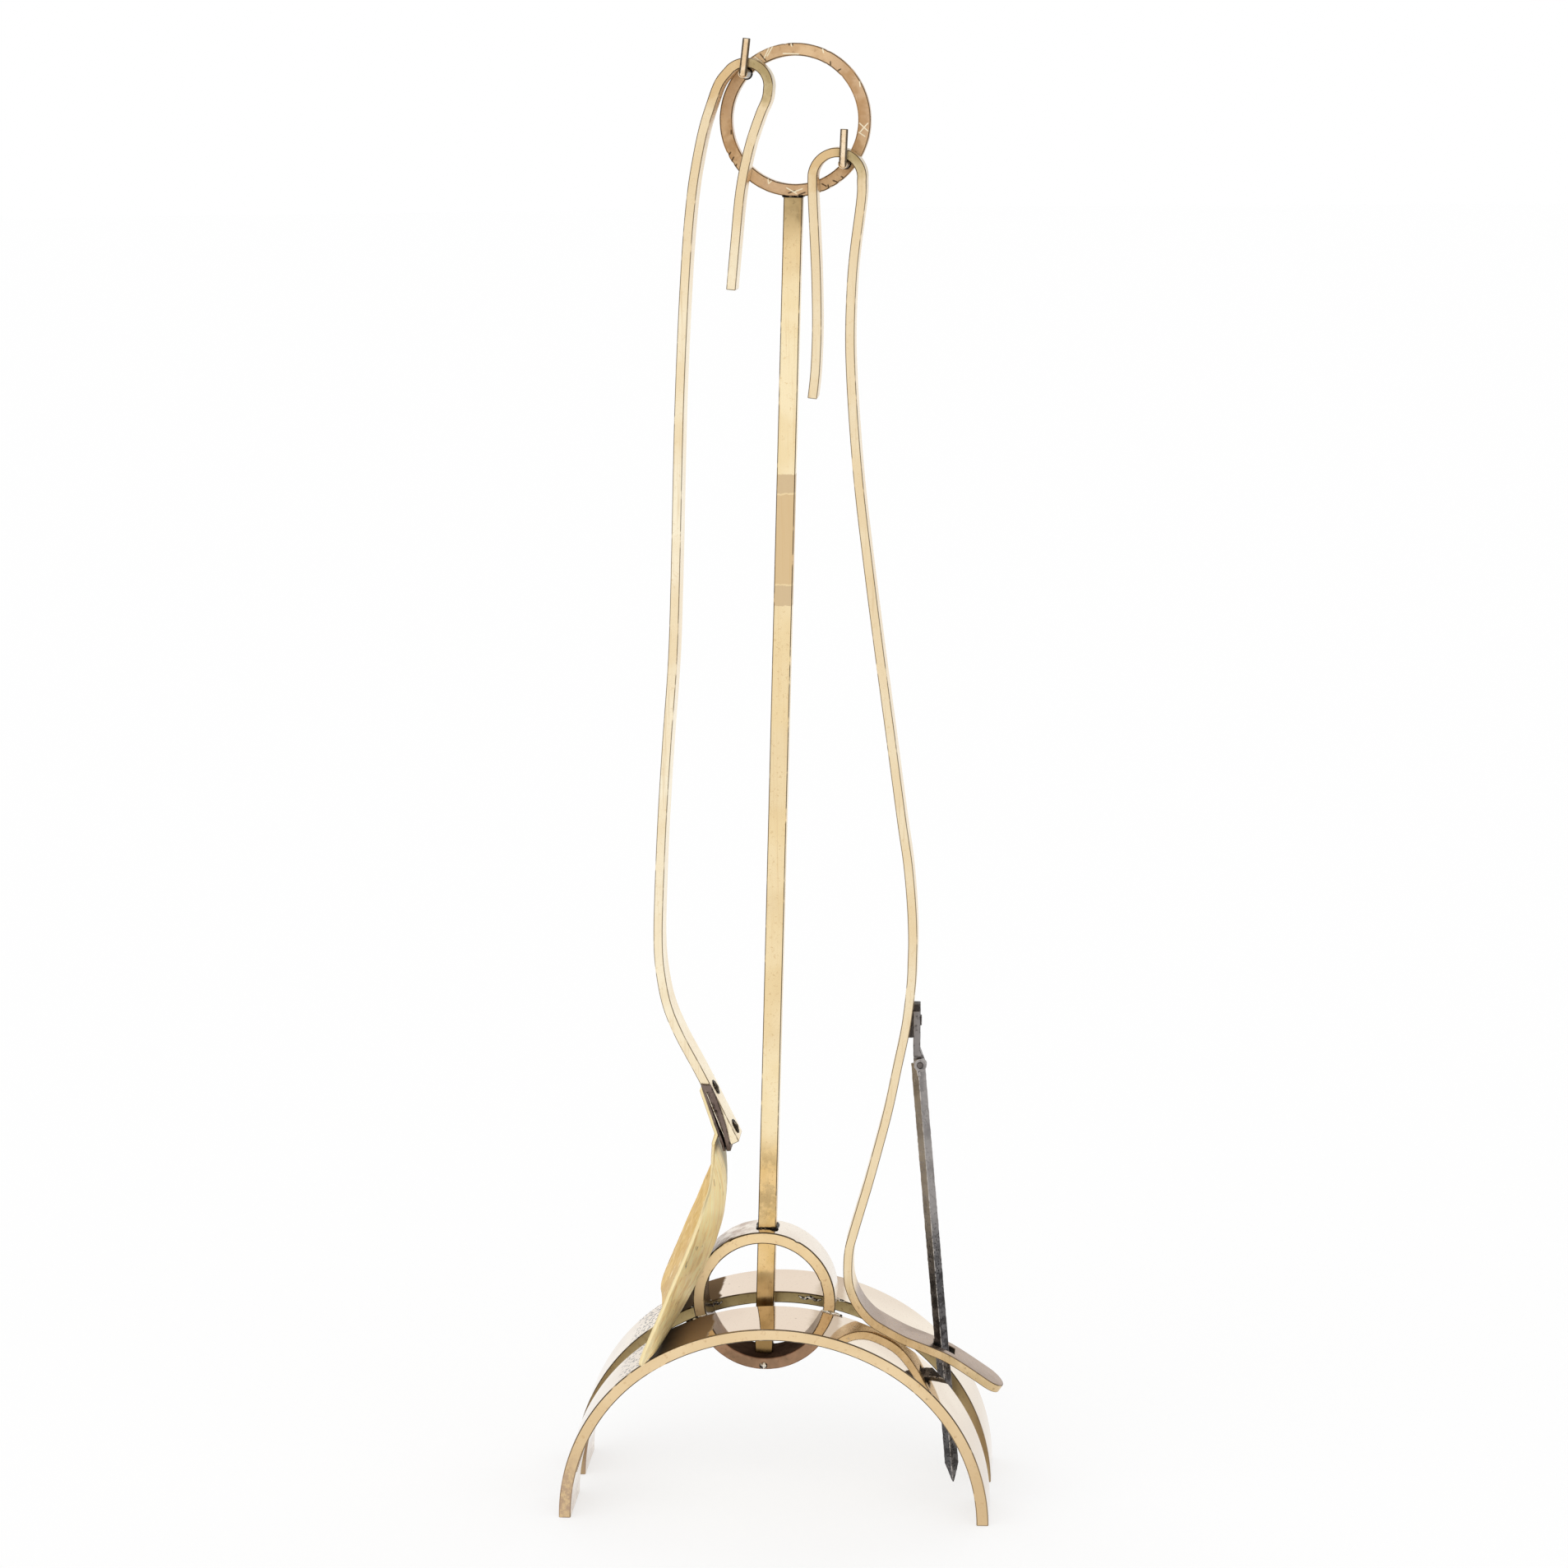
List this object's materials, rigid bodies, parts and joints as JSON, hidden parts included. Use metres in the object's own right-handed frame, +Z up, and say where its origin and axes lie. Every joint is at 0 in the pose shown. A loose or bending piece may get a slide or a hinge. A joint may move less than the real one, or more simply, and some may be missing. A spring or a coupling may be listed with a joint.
{
  "type": "fireplace tool set",
  "caption": "Brass fireplace tool stand of arches, rings and a leaning square post, with a shovel and a poker with a hinged steel spike hung on pins.",
  "frame": {"origin": "on the floor, under the middle of the whole set's footprint", "axes": "+X to the right seen from the side the tools hang on, +Y from that front side to the back, +Z up along the post"},
  "size_m": [0.2344, 0.1394, 0.7676],
  "materials": {
    "polished_brass": "polished, worn pale on top",
    "bar_brass": "satin, mottled patina",
    "ring_brass": "satin, rosy bronze tone",
    "pan_brass": "brushed, streaked",
    "dark_brass": "dark brown patina",
    "spike_steel": "forged, pitted and dark",
    "dark_steel": "dark, rough"
  },
  "bodies": {
    "stand": {"front_arch": "polished_brass", "rear_arch": "polished_brass", "base_ring": "ring_brass", "post": "bar_brass", "post_foot_rivet": "dark_brass", "top_ring": "ring_brass", "upper_hanging_pin": "bar_brass", "upper_pin_upright": "bar_brass", "lower_hanging_pin": "bar_brass", "lower_pin_upright": "bar_brass"},
    "shovel": {"shovel_bar": "bar_brass", "shovel_socket": "dark_brass", "shovel_rivets": "dark_brass", "shovel_pan": "pan_brass"},
    "poker": {"poker_bar": "bar_brass", "spike_bracket": "dark_steel", "bracket_rivet": "dark_steel", "spike_strap": "spike_steel", "spike_rivet": "dark_steel"},
    "spike": {"spike": "spike_steel"}
  },
  "joints": [
    {"name": "shovel_swing", "type": "hinge", "parent": "stand", "child": "shovel", "pos_m": [-0.01236, 0, 0.75026], "axis": [0, 1, 0], "range_deg": [0, 40]},
    {"name": "poker_swing", "type": "hinge", "parent": "stand", "child": "poker", "pos_m": [0.03691, 0, 0.7055], "axis": [0, -1, 0], "range_deg": [0, 40]},
    {"name": "spike_swing", "type": "hinge", "parent": "poker", "child": "spike", "pos_m": [0.07345, 0.00602, 0.23954], "axis": [0, -0.9999, -0.0129], "range_deg": [0, 0.8]}
  ]
}
